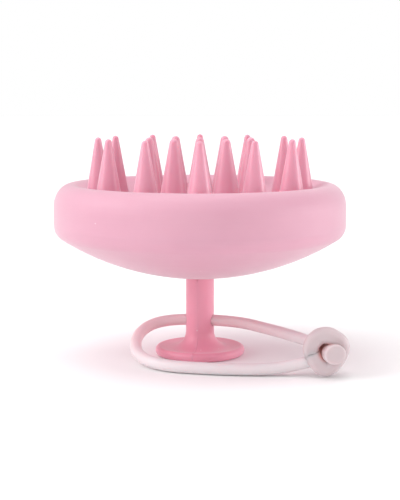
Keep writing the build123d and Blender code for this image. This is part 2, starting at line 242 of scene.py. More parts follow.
class ShaderGroups:
    """The effects that several finishes share. Each is built once."""

    def __init__(self) -> None:
        """Builds every group."""
        self.grain = self._grain()
        self.drift = self._drift()
        self.specks = self._specks()
        self.flow = self._flow()

    def _grain(self) -> NodeTree:
        """Fine skin of moulded silicone: a sharp grain on a slow orange peel. Gives a height.

        Returns:
            The group.
        """
        tree, given = new_group(
            "silicone_grain", "ShaderNodeTree",
            [("Coordinates", VECTOR, None), ("Grain per mm", FLOAT, 6.0),
             ("Peel per mm", FLOAT, 0.5), ("Peel share", FLOAT, 0.6)],
            [("Height", FLOAT)],
        )
        grain_scale = tree.math("MULTIPLY", given["Grain per mm"], 1 / MM)
        peel_scale = tree.math("MULTIPLY", given["Peel per mm"], 1 / MM)
        grain = tree.add("ShaderNodeTexNoise", Vector=given["Coordinates"], Scale=grain_scale, Detail=2.0)
        peel = tree.add("ShaderNodeTexNoise", Vector=given["Coordinates"], Scale=peel_scale, Detail=1.0)
        slow = tree.math("MULTIPLY", peel.outputs["Fac"], given["Peel share"])
        height = tree.math("ADD", grain.outputs["Fac"], slow)
        tree.add("NodeGroupOutput", Height=height)
        return tree.tree

    def _drift(self) -> NodeTree:
        """Slow change of tone over a moulding, from the way its pigment flowed. Gives a colour.

        Returns:
            The group.
        """
        tree, given = new_group(
            "tone_drift", "ShaderNodeTree",
            [("Coordinates", VECTOR, None), ("Colour", COLOUR, rgba((0.8, 0.4, 0.5))),
             ("Drifted colour", COLOUR, rgba((0.8, 0.4, 0.5))), ("Per mm", FLOAT, 0.05)],
            [("Colour", COLOUR)],
        )
        scale = tree.math("MULTIPLY", given["Per mm"], 1 / MM)
        noise = tree.add(
            "ShaderNodeTexNoise", Vector=given["Coordinates"], Scale=scale, Detail=3.0, Roughness=0.55
        )
        share = tree.remap(noise.outputs["Fac"], (0.35, 0.68))
        tree.add("NodeGroupOutput", Colour=tree.mix(share, given["Colour"], given["Drifted colour"]))
        return tree.tree

    def _specks(self) -> NodeTree:
        """Sparse specks of dust that cling to soft silicone. Gives a mask.

        Returns:
            The group.
        """
        tree, given = new_group(
            "clinging_dust", "ShaderNodeTree",
            [("Coordinates", VECTOR, None), ("Cells per mm", FLOAT, 0.35),
             ("Size", FLOAT, 0.07), ("Share", FLOAT, 0.12)],
            [("Mask", FLOAT)],
        )
        scale = tree.math("MULTIPLY", given["Cells per mm"], 1 / MM)
        cells = tree.add("ShaderNodeTexVoronoi", Vector=given["Coordinates"], Scale=scale)
        pick = tree.add(
            "ShaderNodeTexWhiteNoise", {"noise_dimensions": "3D"}, Vector=cells.outputs["Position"]
        )
        chosen = tree.math("LESS_THAN", pick.outputs["Value"], given["Share"])
        close = tree.math("LESS_THAN", cells.outputs["Distance"], given["Size"])
        tree.add("NodeGroupOutput", Mask=tree.math("MULTIPLY", chosen, close))
        return tree.tree

    def _flow(self) -> NodeTree:
        """Faint level bands round a turned mould, which the moulding takes over. Gives a height.

        Returns:
            The group.
        """
        tree, given = new_group(
            "mould_bands", "ShaderNodeTree",
            [("Coordinates", VECTOR, None), ("Bands per mm", FLOAT, 0.8),
             ("Stretch", FLOAT, 0.03)],
            [("Height", FLOAT)],
        )
        parts = tree.add("ShaderNodeSeparateXYZ", Vector=given["Coordinates"])
        squeezed = [tree.math("MULTIPLY", parts.outputs[name], given["Stretch"]) for name in ("X", "Y")]
        joined = tree.add("ShaderNodeCombineXYZ", X=squeezed[0], Y=squeezed[1], Z=parts.outputs["Z"])
        scale = tree.math("MULTIPLY", given["Bands per mm"], 1 / MM)
        noise = tree.add("ShaderNodeTexNoise", Vector=joined.outputs[0], Scale=scale, Detail=2.0)
        tree.add("NodeGroupOutput", Height=noise.outputs["Fac"])
        return tree.tree


@dataclass(frozen=True)
class SoftMoulding:
    """Satin silicone or soft-touch plastic, as one material, with patterns, bumps and places in millimetres.

    The last four colours are optional, and each is painted light: painted shade in creases by the "crease"
    attribute, a paler, lighter tone towards the near side with painted pink bounce light further back, a
    painted pink bounce on the inner edge of the head's rim, and a painted sheen on edges seen at a slant.
    """

    name: str
    colour: Colour
    drifted: Colour
    roughness: float = 0.45
    grain_depth: float = 0.010
    grain_per_mm: float = 6.0
    band_depth: float = 0.0
    dust_share: float = 0.10
    dust_colour: Colour = (0.95, 0.86, 0.88)
    subsurface: float = 0.2
    scatter_mm: float = 1.2
    scatter_tint: Colour = (1.0, 0.45, 0.5)
    sheen: float = 0.15
    coat: float = 0.0
    rough_spread: Span = (-0.05, 0.06)
    dust_strength: float = 0.5
    sheen_roughness: float = 0.4
    coat_roughness: float = 0.25
    painted_bounce_near_span: Span = (-6.0, -22.0)
    painted_bounce_lip_radii: Span = (36.0, 33.5)
    painted_bounce_lip_heights: Span = (49.0, 50.0)
    painted_sheen_power: float = 2.5
    painted_sheen_share: float = 0.7
    painted_crease_shade_colour: Optional[Colour] = None
    painted_bounce_near_colour: Optional[Colour] = None
    painted_bounce_lip_colour: Optional[Colour] = None
    painted_sheen_colour: Optional[Colour] = None

    def _tone(self, tree: Tree, place: Socket, tone: Socket) -> Socket:
        """Lays the optional colours of painted light and shade over the moulding's own tone.

        Args:
            tree: the material's tree.
            place: object coordinates.
            tone: the colour so far.

        Returns:
            The colour with each optional one laid over it.
        """
        # Painted light: the cord turns paler and lighter towards the near side, and stays pinker further
        # back, for pink light bounced onto it from the head and foot.
        if self.painted_bounce_near_colour:
            parts = tree.add("ShaderNodeSeparateXYZ", Vector=place).outputs
            near = tree.remap(parts["Y"], in_metres(self.painted_bounce_near_span))
            tone = tree.mix(near, tone, rgba(self.painted_bounce_near_colour))
        # Painted reflection: a rosier tone on the rim's inner edge near its top, for pink light bounced about
        # inside the dish.
        if self.painted_bounce_lip_colour:
            parts = tree.add("ShaderNodeSeparateXYZ", Vector=place).outputs
            flat = tree.add("ShaderNodeCombineXYZ", X=parts["X"], Y=parts["Y"]).outputs[0]
            radius = tree.add("ShaderNodeVectorMath", {"operation": "LENGTH"}, Vector=flat).outputs["Value"]
            within = tree.remap(radius, in_metres(self.painted_bounce_lip_radii))
            upper = tree.remap(parts["Z"], in_metres(self.painted_bounce_lip_heights))
            tone = tree.mix(tree.math("MULTIPLY", within, upper), tone, rgba(self.painted_bounce_lip_colour))
        # Painted sheen: edges seen at a slant turn paler, like a light rim.
        if self.painted_sheen_colour:
            facing = tree.add("ShaderNodeLayerWeight", Blend=0.5).outputs["Facing"]
            edge = tree.math("MULTIPLY", tree.math("POWER", facing, self.painted_sheen_power), self.painted_sheen_share)
            tone = tree.mix(edge, tone, rgba(self.painted_sheen_colour))
        # Painted shade: the knot's creases, by the crease attribute, darken to a brown-red.
        if self.painted_crease_shade_colour:
            crease = tree.add("ShaderNodeAttribute", {"attribute_name": "crease"}).outputs["Fac"]
            tone = tree.mix(crease, tone, rgba(self.painted_crease_shade_colour))
        return tone

    def build(self, groups: ShaderGroups) -> Material:
        """Makes the material.

        Args:
            groups: the shared effects.

        Returns:
            The material, ready to assign.
        """
        tree, material = new_material(self.name)
        place = tree.add("ShaderNodeTexCoord").outputs["Object"]

        def group(which: NodeTree, **values: object) -> Socket:
            """The first output of a shared effect in this material."""
            return tree.add("ShaderNodeGroup", {"node_tree": which}, Coordinates=place, **values).outputs[0]

        tone = self._tone(tree, place, group(
            groups.drift, Colour=rgba(self.colour), Drifted_colour=rgba(self.drifted)
        ))
        dust = group(groups.specks, Share=self.dust_share)
        colour = tree.mix(tree.math("MULTIPLY", dust, self.dust_strength), tone, rgba(self.dust_colour))
        grain = group(groups.grain, Grain_per_mm=self.grain_per_mm)
        rough = tree.remap(grain, GRAIN_SPAN, tuple(self.roughness + change for change in self.rough_spread))
        height = tree.math("MULTIPLY", grain, self.grain_depth)
        if self.band_depth:
            bands = tree.math("MULTIPLY", group(groups.flow), self.band_depth)
            height = tree.math("ADD", height, bands)
        bump = tree.add("ShaderNodeBump", Strength=1.0, Distance=MM, Height=height)
        shader = tree.add(
            "ShaderNodeBsdfPrincipled", {"subsurface_method": "RANDOM_WALK"},
            Base_Color=colour, Roughness=rough, Normal=bump.outputs[0],
            Subsurface_Weight=self.subsurface, Subsurface_Radius=self.scatter_tint,
            Subsurface_Scale=self.scatter_mm * MM,
            Sheen_Weight=self.sheen, Sheen_Roughness=self.sheen_roughness,
            Coat_Weight=self.coat, Coat_Roughness=self.coat_roughness, Specular_IOR_Level=0.5,
        )
        tree.add("ShaderNodeOutputMaterial", Surface=shader.outputs[0])
        return material


@dataclass(frozen=True)
class PlatedSteel:
    """Zinc-plated or spring steel of small hardware, as one material."""

    name: str
    colour: Colour
    roughness: float = 0.32
    rough_spread: Span = (-0.08, 0.10)
    grain_per_mm: float = 9.0
    grain_depth: float = 0.004
    darkest: float = 0.8

    def build(self, groups: ShaderGroups) -> Material:
        """Makes the material.

        Args:
            groups: the shared effects.

        Returns:
            The material, ready to assign.
        """
        tree, material = new_material(self.name)
        place = tree.add("ShaderNodeTexCoord").outputs["Object"]
        grain = tree.add(
            "ShaderNodeGroup", {"node_tree": groups.grain}, Coordinates=place, Grain_per_mm=self.grain_per_mm
        ).outputs[0]
        rough = tree.remap(grain, GRAIN_SPAN, tuple(self.roughness + change for change in self.rough_spread))
        height = tree.math("MULTIPLY", grain, self.grain_depth)
        bump = tree.add("ShaderNodeBump", Strength=1.0, Distance=MM, Height=height)
        darker = tuple(self.darkest * channel for channel in self.colour)
        tone = tree.mix(tree.remap(grain, (0.5, 1.1)), rgba(self.colour), rgba(darker))
        shader = tree.add(
            "ShaderNodeBsdfPrincipled", Base_Color=tone, Metallic=1.0, Roughness=rough, Normal=bump.outputs[0]
        )
        tree.add("ShaderNodeOutputMaterial", Surface=shader.outputs[0])
        return material


class Finishes:
    """Every material of the object, built once."""

    def __init__(self) -> None:
        """Builds the shared effects and then the materials."""
        groups = ShaderGroups()
        self.shell = SoftMoulding(
            "pale_pink_shell", (0.70, 0.36, 0.46), (0.675, 0.34, 0.44), roughness=0.5, band_depth=0.055,
            # Painted reflection: the rim's inner edge is rosier, for pink light bounced inside the dish.
            subsurface=0.12, scatter_tint=(1.0, 0.6, 0.65), painted_bounce_lip_colour=(0.78, 0.36, 0.49), sheen=0.4,
        ).build(groups)
        self.bristle = SoftMoulding(
            "rose_silicone", (0.76, 0.345, 0.45), (0.73, 0.32, 0.425), roughness=0.34, grain_depth=0.004,
            dust_share=0.05, subsurface=0.5, scatter_mm=1.8, sheen=0.2, coat=0.2,
            # Painted sheen: the bristles' slanted edges are paler.
            painted_sheen_colour=(0.93, 0.60, 0.69),
        ).build(groups)
        self.handle = SoftMoulding(
            "rose_moulding", (0.88, 0.36, 0.47), (0.855, 0.34, 0.45), roughness=0.4, grain_depth=0.006,
            dust_share=0.07, subsurface=0.25, sheen=0.2,
        ).build(groups)
        clear = dict(
            roughness=0.4, grain_depth=0.004, dust_share=0.12, dust_colour=(0.96, 0.93, 0.93),
            subsurface=0.5, scatter_mm=2.0, scatter_tint=(1.0, 0.7, 0.7), sheen=0.1,
        )
        self.cord = SoftMoulding(
            "clear_pink_silicone", (0.84, 0.64, 0.67), (0.81, 0.61, 0.64),
            # Painted light: paler and lighter towards the near side, pinker further back for bounced pink
            # light.
            painted_bounce_near_colour=(0.79, 0.72, 0.74), **clear
        ).build(groups)
        # Painted shade: the knot has a darker, greyer copy of the cord's colour, which stands in for the
        # shade in the tight knot.
        self.knot = SoftMoulding(
            "knotted_silicone_painted_shade", (0.66, 0.56, 0.58), (0.62, 0.51, 0.53),
            # Painted shade darkens the knot's creases.
            painted_crease_shade_colour=(0.60, 0.27, 0.25), **clear
        ).build(groups)
        self.inner = SoftMoulding(
            "natural_nylon", (0.82, 0.80, 0.75), (0.79, 0.77, 0.72), roughness=0.5, subsurface=0.15,
            scatter_tint=(1.0, 0.9, 0.8), dust_share=0.0,
        ).build(groups)
        self.zinc = PlatedSteel("zinc_plate", (0.70, 0.71, 0.73)).build(groups)
        self.spring = PlatedSteel("spring_steel", (0.60, 0.60, 0.62), roughness=0.25).build(groups)


def dress(piece: Object, material: Material) -> None:
    """Gives every material slot of a piece one material.

    Args:
        piece: mesh or curve object.
        material: the finish.
    """
    slots = piece.data.materials
    if not slots:
        slots.append(material)
    for index in range(len(slots)):
        slots[index] = material


def link(name: str, data: bpy.types.ID) -> Object:
    """Makes an object at the origin and links it to the scene.

    Args:
        name: the object's name.
        data: its mesh, curve, light or camera.

    Returns:
        The object.
    """
    piece = bpy.data.objects.new(name, data)
    bpy.context.scene.collection.objects.link(piece)
    return piece


def seat(piece: Object, body: Body, material: Material) -> Object:
    """Dresses a new piece and makes it ride on its body.

    Args:
        piece: the finished piece.
        body: the body that it moves with.
        material: its finish.

    Returns:
        The piece.
    """
    dress(piece, material)
    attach(piece, body.value)
    log.info("%s rides on %s", piece.name, body.value)
    return piece


def as_mesh(name: str, source: Object) -> Object:
    """Turns an object with live modifiers, or a curve, into a plain mesh and removes the source.

    Args:
        name: the mesh object's name.
        source: the object to evaluate.

    Returns:
        The mesh object, at the origin.
    """
    graph = bpy.context.evaluated_depsgraph_get()
    mesh = bpy.data.meshes.new_from_object(source.evaluated_get(graph), depsgraph=graph)
    mesh.name = name
    mesh.shade_smooth()
    bpy.data.objects.remove(source)
    return link(name, mesh)


def nurbs(name: str, points: Sequence[Point], diameter: float, resolution: int = 12) -> Object:
    """Makes a round cord on a smooth curve.

    Args:
        name: the object's name.
        points: the control points, in metres.
        diameter: the cord's diameter in metres.
        resolution: steps between two control points.

    Returns:
        The curve object, at the origin.
    """
    curve = bpy.data.curves.new(name, "CURVE")
    curve.dimensions = "3D"
    curve.bevel_depth = diameter / 2
    curve.bevel_resolution = 8
    curve.resolution_u = resolution
    curve.use_fill_caps = True
    spline = curve.splines.new("NURBS")
    spline.points.add(len(points) - 1)
    for target, point in zip(spline.points, points):
        target.co = (*point, 1.0)
    spline.order_u = 3
    spline.use_endpoint_u = True
    return link(name, curve)


def join_rings(mesh: BMesh, rings: list[list[BMVert]]) -> None:
    """Joins rings of vertices to a closed skin.

    Args:
        mesh: the mesh that the rings are in.
        rings: the rings in order, all with as many vertices.
    """
    for first, second in zip(rings, rings[1:]):
        for index in range(len(first)):
            after = (index + 1) % len(first)
            mesh.faces.new((first[index], first[after], second[after], second[index]))
    mesh.faces.new(rings[0])
    mesh.faces.new(rings[-1])


def settled(name: str, mesh: BMesh) -> bpy.types.Mesh:
    """Turns a worked mesh into mesh data and frees it.

    Args:
        name: the mesh data's name.
        mesh: the worked mesh.

    Returns:
        The mesh data.
    """
    data = bpy.data.meshes.new(name)
    mesh.to_mesh(data)
    mesh.free()
    return data


@dataclass
class Knot:
    """The overhand knot's look: a flattened strand wound round the cut tail.

    Places are in millimetres from the knot's middle: u to the right, v up and w to the near side.
    """

    # The strand's line, as (angle in degrees, radius, w). It winds clockwise from behind the lower left.
    winding: tuple = (
        (255, 3.7, -1.0), (215, 4.2, 0.4), (172, 4.5, 1.3), (145, 4.8, 1.6), (108, 5.0, 1.8),
        (70, 4.5, 2.0), (22, 4.7, 1.6), (-35, 3.7, 0.9), (-78, 4.4, 1.4), (-102, 4.9, 1.7),
        (-148, 4.0, 1.8), (-185, 3.9, 0.2), (-225, 4.0, -1.8), (-280, 4.3, -2.3), (-340, 4.3, -2.3),
        (-400, 4.2, -2.3), (-450, 3.4, -1.6),
    )
    line_steps: int = 9
    # From the back of the CAD node's box to the knot's middle.
    back_depth: float = 4.6
    half_width: float = 2.3
    half_thickness: float = 1.75
    # The broad side is pinched in the middle, by this share and over this share of its half width.
    waist: float = 0.16
    waist_width: float = 0.35
    # The ends start at this share of the full size, and grow by this much per share of the length.
    end_size: float = 0.55
    end_growth: float = 8.0
    tail_start: Point = (1.1, -0.6, -1.0)
    tail_end: Point = (1.8, 0.1, 6.2)
    tail_radius: float = 2.8
    tail_round: float = 0.5
    tail_round_steps: int = 7
    tail_oval: float = 0.05
    tail_oval_turn: float = 0.8
    # The cut end's low crown: how far it rises, and its radius as a share of the tail's.
    tail_crown: float = 0.12
    tail_crown_share: float = 0.45
    # Creases start at this radius on the strand and this w on the tail, and deepen over the second value. The
    # knot's finish paints shade by this depth.
    strand_crease: Span = (2.9, 0.9)
    tail_crease: Span = (3.0, 0.8)
    sides: int = 28

    def _middle(self) -> Vector:
        """The knot's middle, from the box of its CAD node.

        Returns:
            The place in metres.
        """
        low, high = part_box("cord_knot")
        radius = (high.x - low.x) / 2
        return Vector((low.x + radius, high.y - self.back_depth * MM, (low.z + high.z) / 2))

    def _place(self, middle: Vector, local: Sequence[float]) -> Vector:
        """A place in the model's frame.

        Args:
            middle: the knot's middle, in metres.
            local: (u, v, w) in millimetres.

        Returns:
            The place in metres.
        """
        u, v, w = local
        return middle + Vector((u, -w, v)) * MM

    def _crease(self, value: float, limits: Span) -> float:
        """How deep in a crease a value is, from 0 to 1."""
        return max(0.0, min(1.0, (limits[0] - value) / limits[1]))

    def _line(self) -> list[Vector]:
        """Points along the winding's smooth line, in local millimetres.

        Returns:
            The points in order.
        """
        points = []
        for angle, radius, w in self.winding:
            turn = math.radians(angle)
            points.append((radius * math.cos(turn) * MM, radius * math.sin(turn) * MM, w * MM))
        curve = nurbs("knot_line", points, 0.0, resolution=self.line_steps)
        mesh = as_mesh("knot_line_points", curve)
        line = [vertex.co / MM for vertex in mesh.data.vertices]
        bpy.data.objects.remove(mesh)
        return line

    def _strand(self, mesh: BMesh, middle: Vector, crease: list[float]) -> None:
        """Sweeps the flattened section along the winding.

        Args:
            mesh: the mesh to add to.
            middle: the knot's middle, in metres.
            crease: takes each new vertex's depth in a crease.
        """
        line = self._line()
        rings = []
        for index, point in enumerate(line):
            ahead, behind = line[min(index + 1, len(line) - 1)], line[max(index - 1, 0)]
            tangent = (ahead - behind).normalized()
            across = tangent.cross(Vector((0, 0, 1))).normalized()
            out = across.cross(tangent).normalized()
            # The two ends draw in, so that they hide inside the knot.
            share = index / (len(line) - 1)
            swell = min(1.0, self.end_size + self.end_growth * min(share, 1 - share))
            ring = []
            for step in range(self.sides):
                turn = step * 2 * math.pi / self.sides
                pinch = 1 - self.waist * math.exp(-((math.cos(turn) / self.waist_width) ** 2))
                wide = self.half_width * swell * math.cos(turn)
                thick = self.half_thickness * swell * pinch * math.sin(turn)
                local = point + across * wide + out * thick
                ring.append(mesh.verts.new(self._place(middle, local)))
                crease.append(self._crease(math.hypot(local.x, local.y), self.strand_crease))
            rings.append(ring)
        join_rings(mesh, rings)

    def _tail(self, mesh: BMesh, middle: Vector, crease: list[float]) -> None:
        """Adds the cut tail, a round stub with a softened edge.

        Args:
            mesh: the mesh to add to.
            middle: the knot's middle, in metres.
            crease: takes each new vertex's depth in a crease.
        """
        start, end = Vector(self.tail_start), Vector(self.tail_end)
        axis = (end - start).normalized()
        side = axis.orthogonal().normalized()
        other = axis.cross(side)
        length = (end - start).length
        outline = [(length * share, self.tail_radius) for share in (0.0, 0.25, 0.5)]
        for step in range(self.tail_round_steps):
            turn = step * math.pi / 2 / (self.tail_round_steps - 1)
            outline.append((
                length - self.tail_round * (1 - math.sin(turn)),
                self.tail_radius - self.tail_round * (1 - math.cos(turn)),
            ))
        outline.append((length + self.tail_crown, self.tail_radius * self.tail_crown_share))
        rings = []
        for along, radius in outline:
            ring = []
            for step in range(self.sides):
                turn = step * 2 * math.pi / self.sides
                oval = 1 + self.tail_oval * math.cos(2 * turn + self.tail_oval_turn)
                outwards = side * math.cos(turn) + other * math.sin(turn)
                local = start + axis * along + outwards * radius * oval
                ring.append(mesh.verts.new(self._place(middle, local)))
                crease.append(self._crease(local.z, self.tail_crease))
            rings.append(ring)
        join_rings(mesh, rings)

    def build(self) -> Object:
        """Makes the knot's mesh, with the depth of its creases as an attribute, which the knot's finish
        paints as shade.

        Returns:
            The knot, not yet dressed.
        """
        middle = self._middle()
        mesh = bmesh.new()
        crease: list[float] = []
        self._strand(mesh, middle, crease)
        self._tail(mesh, middle, crease)
        bmesh.ops.recalc_face_normals(mesh, faces=mesh.faces)
        data = settled("knot", mesh)
        attribute = data.attributes.new("crease", "FLOAT", "POINT")
        attribute.data.foreach_set("value", crease)
        data.shade_smooth()
        return link("knot", data)


@dataclass
class CordLoop:
    """The cord: two strands out of the stem's cross hole and the knot that joins them. Sizes in metres."""

    diameter: float = 3.3 * MM
    hole_turn_deg: float = -10.0
    hole_height: float = 10.25 * MM
    stem_radius: float = 4.15 * MM
    left_length: float = 85.5 * MM
    right_length: float = 44.8 * MM
    left_bends: tuple[Point, ...] = (
        (-0.0184, -0.0044, 0.0074), (-0.0186, -0.0144, 0.0029), (-0.0112, -0.0234, 0.00175),
        (0.0026, -0.0272, 0.00175), (0.0164, -0.0286, 0.00175), (0.0252, -0.0282, 0.0027),
        (0.0316, -0.0286, 0.0046),
    )
    right_bends: tuple[Point, ...] = (
        (0.0202, -0.0086, 0.0090), (0.0278, -0.0180, 0.0086), (0.0330, -0.0270, 0.0082),
    )
    left_straight: float = 10.7 * MM
    right_straight: float = 10.5 * MM

    def _along_hole(self, distance: float) -> Point:
        """Point on the cross hole's axis, at a distance from the stem's middle."""
        turn = math.radians(self.hole_turn_deg)
        return distance * math.cos(turn), distance * math.sin(turn), self.hole_height

    def build(self, finishes: Finishes) -> None:
        """Args:
            finishes: the materials.
        """
        knot = seat(Knot().build(), Body.CORD, finishes.knot)
        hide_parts("cord_knot")
        strands = (
            ("strand_left", "cord_left", -1, self.left_straight, self.left_bends, self.left_length, [knot]),
            ("strand_right", "cord_right", 1, self.right_straight, self.right_bends, self.right_length, []),
        )
        for name, node, side, straight, bends, length, ends in strands:
            route = [self._along_hole(0.0), self._along_hole(side * straight), *bends]
            strand = seat(nurbs(name, route, self.diameter), Body.CORD, finishes.cord)
            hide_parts(node)


@dataclass
class Bristles:
    """The silicone cones, one in the middle and two rings. Sizes in metres."""

    inner_tip: float = 1.25 * MM
    outer_tip: float = 0.95 * MM
    taper_deg: float = 10.179
    lean_deg: float = 0.35
    sides: int = 40
    rows: int = 34
    # How strongly the rows crowd towards the tip.
    crowding: float = 2.2
    weld: float = 0.002 * MM
    # Clear of the middle bristle's hole, where the face's height is read for it.
    beside_hole: float = 7 * MM
    seed: int = 7

    def _random(self, tree: Tree, reach: object, seed: object, salt: int) -> Socket:
        """A fixed random number for each point.

        Args:
            tree: the ring's tree.
            reach: the number is between minus and plus this.
            seed: the ring's seed.
            salt: keeps two numbers of one ring apart.

        Returns:
            The number's socket.
        """
        shifted = tree.math("ADD", seed, float(salt))
        node = tree.add("FunctionNodeRandomValue", {"data_type": "FLOAT"})
        floats = [socket for socket in node.inputs if socket.type == "VALUE"]
        tree.feed(floats[0], tree.math("MULTIPLY", reach, -1.0))
        tree.feed(floats[1], reach)
        tree.feed(node.inputs["Seed"], shifted)
        return next(socket for socket in node.outputs if socket.type == "VALUE")

    def _tree(self) -> NodeTree:
        """One ring: a cone turned from a formula, set at even steps and joined to what came in.

        Returns:
            The geometry node group.
        """
        tree, given = new_group(
            "bristle_ring", "GeometryNodeTree",
            [("Geometry", "NodeSocketGeometry", None), ("Ring radius", FLOAT, 0.0), ("Count", WHOLE, 1),
             ("Base height", FLOAT, 0.0), ("Face height", FLOAT, 0.0), ("Tip height", FLOAT, 0.0),
             ("Tip radius", FLOAT, 0.0), ("Taper", FLOAT, 0.0), ("Lean", FLOAT, 0.0), ("Seed", WHOLE, 0),
             ("Sides", WHOLE, 3), ("Rows", WHOLE, 3), ("Finish", "NodeSocketMaterial", None)],
            [("Geometry", "NodeSocketGeometry")],
        )
        base, tip = given["Base height"], given["Tip height"]
        ball, taper = given["Tip radius"], given["Taper"]

        # A grid one unit wide and tall: its X goes round the cone and its Y goes up it.
        columns = tree.math("ADD", given["Sides"], 1.0)
        grid = tree.add(
            "GeometryNodeMeshGrid", Size_X=1.0, Size_Y=1.0, Vertices_X=columns, Vertices_Y=given["Rows"]
        )
        position = tree.add("GeometryNodeInputPosition").outputs[0]
        spot = tree.add("ShaderNodeSeparateXYZ", Vector=position).outputs
        round_it = tree.math("MULTIPLY", tree.math("ADD", spot["X"], 0.5), 2 * math.pi)
        upwards = tree.math("ADD", spot["Y"], 0.5)

        # Row 0 is the middle of the flat underside. The rest crowd towards the round tip.
        gaps = tree.math("SUBTRACT", given["Rows"], 1.0)
        row = tree.math("SUBTRACT", tree.math("MULTIPLY", upwards, gaps), 1.0)
        share = tree.math("DIVIDE", tree.math("MAXIMUM", row, 0.0), tree.math("SUBTRACT", gaps, 1.0))
        left = tree.math("POWER", tree.math("MAXIMUM", tree.math("SUBTRACT", 1.0, share), 0.0), self.crowding)
        below_tip = tree.math("MULTIPLY", left, tree.math("SUBTRACT", tip, base))

        # Above the touching circle the outline is the tip's ball, and below it the cone.
        touch_drop = tree.math("MULTIPLY", ball, tree.math("SUBTRACT", 1.0, tree.math("SINE", taper)))
        past = tree.math("SUBTRACT", below_tip, touch_drop)
        touch_radius = tree.math("MULTIPLY", ball, tree.math("COSINE", taper))
        cone = tree.math("ADD", touch_radius, tree.math("MULTIPLY", past, tree.math("TANGENT", taper)))
        opposite = tree.math("SUBTRACT", tree.math("MULTIPLY", ball, 2.0), below_tip)
        across = tree.math("MULTIPLY", below_tip, opposite)
        dome = tree.math("SQRT", tree.math("MAXIMUM", across, 0.0))
        on_cone = tree.math("GREATER_THAN", past, 0.0)
        on_side = tree.math("GREATER_THAN", row, -0.5)
        outline = tree.math("ADD", dome, tree.math("MULTIPLY", on_cone, tree.math("SUBTRACT", cone, dome)))
        radius = tree.math("MULTIPLY", outline, on_side)
        skin = tree.add(
            "ShaderNodeCombineXYZ", X=tree.math("MULTIPLY", radius, tree.math("COSINE", round_it)),
            Y=tree.math("MULTIPLY", radius, tree.math("SINE", round_it)),
            Z=tree.math("SUBTRACT", tip, below_tip),
        )
        turned = tree.add("GeometryNodeSetPosition", Geometry=grid.outputs[0], Position=skin.outputs[0])
        closed = tree.add("GeometryNodeMergeByDistance", Geometry=turned.outputs[0], Distance=self.weld)

        # The ring's even steps. Each cone leans a little about the point where it comes out of the face.
        line = tree.add("GeometryNodeMeshLine", {"mode": "OFFSET"}, Count=given["Count"])
        line.inputs["Offset"].default_value = (0.0, 0.0, 0.0)
        step = tree.math("DIVIDE", 2 * math.pi, given["Count"])
        angle = tree.math("MULTIPLY", tree.add("GeometryNodeInputIndex").outputs[0], step)
        place = tree.add(
            "ShaderNodeCombineXYZ",
            X=tree.math("MULTIPLY", given["Ring radius"], tree.math("COSINE", angle)),
            Y=tree.math("MULTIPLY", given["Ring radius"], tree.math("SINE", angle)),
        )
        ring = tree.add("GeometryNodeSetPosition", Geometry=line.outputs[0], Position=place.outputs[0])
        copies = tree.add("GeometryNodeInstanceOnPoints", Points=ring.outputs[0], Instance=closed.outputs[0])
        lean, seed = given["Lean"], given["Seed"]
        tilt = tree.add(
            "ShaderNodeCombineXYZ", X=self._random(tree, lean, seed, 0), Y=self._random(tree, lean, seed, 1)
        )
        pivot = tree.add("ShaderNodeCombineXYZ", Z=given["Face height"])
        leaning = tree.add(
            "GeometryNodeRotateInstances", Instances=copies.outputs[0],
            Rotation=tilt.outputs[0], Pivot_Point=pivot.outputs[0], Local_Space=True,
        )

        joined = tree.add("GeometryNodeJoinGeometry")
        tree.feed(joined.inputs[0], leaning.outputs[0])
        tree.feed(joined.inputs[0], given["Geometry"])
        real = tree.add("GeometryNodeRealizeInstances", Geometry=joined.outputs[0])
        smooth = tree.add("GeometryNodeSetShadeSmooth", Geometry=real.outputs[0])
        finished = tree.add("GeometryNodeSetMaterial", Geometry=smooth.outputs[0], Material=given["Finish"])
        tree.add("NodeGroupOutput", Geometry=finished.outputs[0])
        return tree.tree

    def _surface_height(self, node: str, offset: float, turn: float) -> float:
        """Height of a CAD node's upper side.

        Args:
            node: the node's name.
            offset: distance from the upright axis.
            turn: turn about it in radians.

        Returns:
            The height in metres.
        """
        surface = BVHTree.FromObject(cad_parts[node], bpy.context.evaluated_depsgraph_get())
        start = Vector((offset * math.cos(turn), offset * math.sin(turn), 1.0))
        return surface.ray_cast(start, Vector((0, 0, -1)))[0].z

    def build(self, finish: Material) -> None:
        """Makes all bristles as one piece, in place of the CAD nodes.

        Args:
            finish: the bristles' material.
        """
        group = self._tree()
        items = group.interface.items_tree
        sockets = {item.name: item.identifier for item in items if item.in_out == "INPUT"}
        source = link("bristle_source", bpy.data.meshes.new("bristle_source"))
        rings = (("bristle_centre", 1, self.inner_tip), ("bristle_inner_1", 6, self.inner_tip),
                 ("bristle_outer_1", 12, self.outer_tip))
        for number, (node, count, tip_radius) in enumerate(rings):
            low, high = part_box(node)
            radius = 0.0 if count == 1 else (low.x + high.x) / 2
            beside = max(radius, self.beside_hole)
            values = {
                "Ring radius": radius, "Count": count, "Tip height": high.z, "Tip radius": tip_radius,
                "Face height": self._surface_height("face_cap", beside, math.pi / count),
                "Base height": self._surface_height("clamp_plate", radius, 0.0),
                "Taper": math.radians(self.taper_deg), "Lean": math.radians(self.lean_deg),
                "Seed": self.seed + 2 * number, "Sides": self.sides, "Rows": self.rows, "Finish": finish,
            }
            modifier = source.modifiers.new(node, "NODES")
            modifier.node_group = group
            for name, value in values.items():
                modifier[sockets[name]] = value
        piece = seat(as_mesh("bristles", source), Body.HEAD, finish)
        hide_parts(*[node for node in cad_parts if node.startswith("bristle_")])


